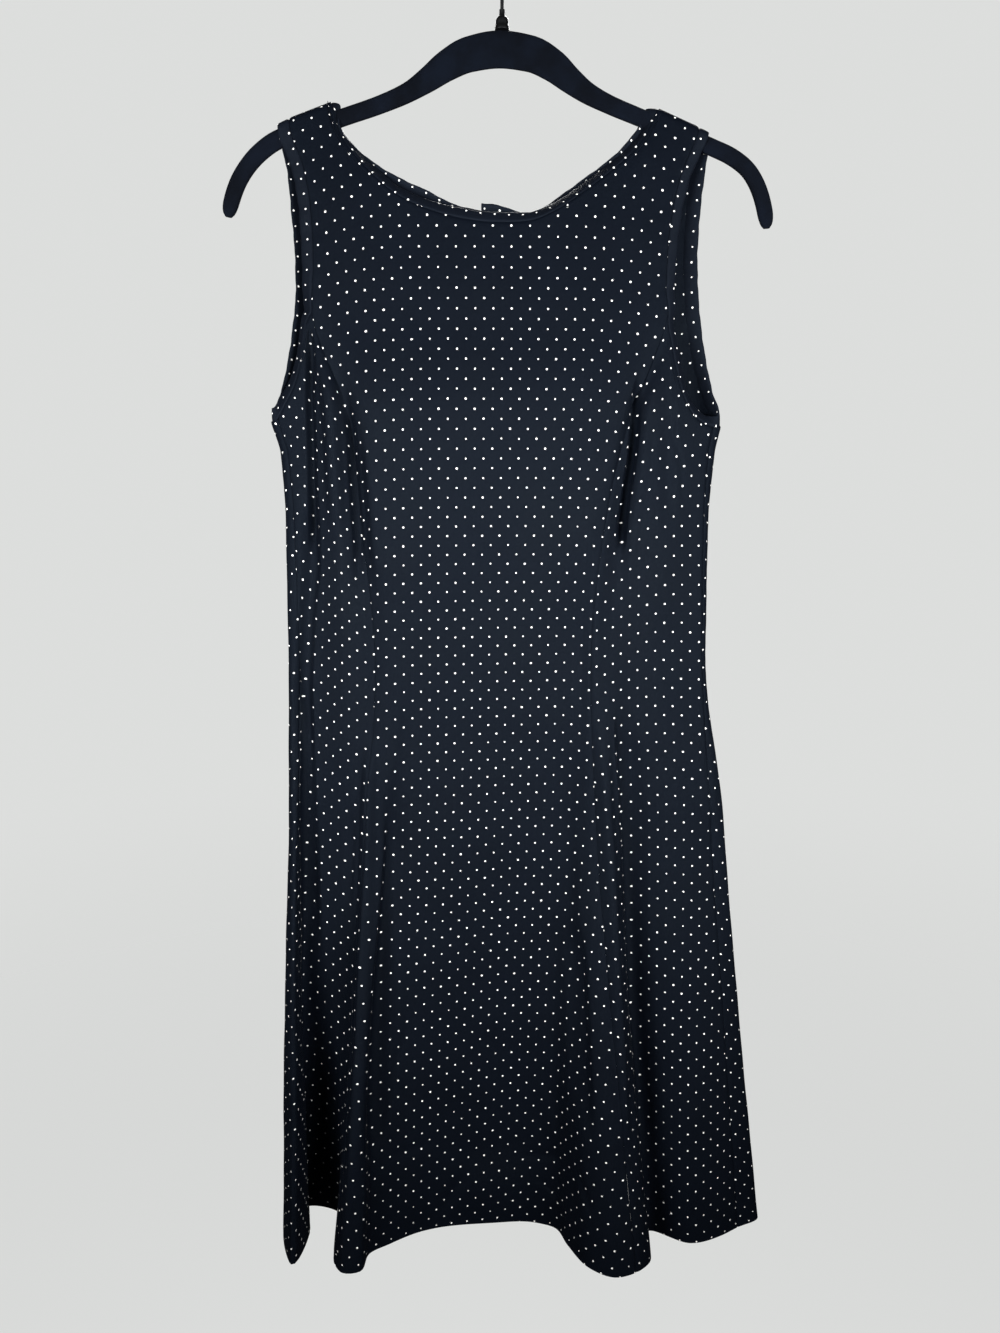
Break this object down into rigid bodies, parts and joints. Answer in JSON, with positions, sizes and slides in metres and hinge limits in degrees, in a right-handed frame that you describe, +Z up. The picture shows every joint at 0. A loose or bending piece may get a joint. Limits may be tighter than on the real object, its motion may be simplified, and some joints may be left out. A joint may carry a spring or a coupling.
{
  "type": "cocktail dress on a hanger",
  "caption": "Sleeveless knee-length princess-seamed knit dress with bound neck and armholes, hanging on a slim flocked hanger.",
  "frame": {"origin": "inner top of the hanger's hook, where a rail carries it", "axes": "+Z up, -Y out of the dress's front, +X to the viewer's right"},
  "size_m": [0.4683, 0.137, 1.1087],
  "materials": {
    "dotted_knit": "matt blue-black knit with a fine light pin dot",
    "band_knit": "the same knit cut on the bias and folded",
    "black_flock": "black velvet flock on a rigid core",
    "bright_steel": "bright plated steel wire and ferrule"
  },
  "bodies": {
    "root": {"front_centre": "dotted_knit", "front_side_left": "dotted_knit", "front_side_right": "dotted_knit", "back_left": "dotted_knit", "back_right": "dotted_knit", "neck_band": "band_knit", "armhole_band_left": "band_knit", "armhole_band_right": "band_knit", "hanger_bar": "black_flock", "hanger_collar": "bright_steel", "hanger_hook": "bright_steel"}
  },
  "joints": []
}
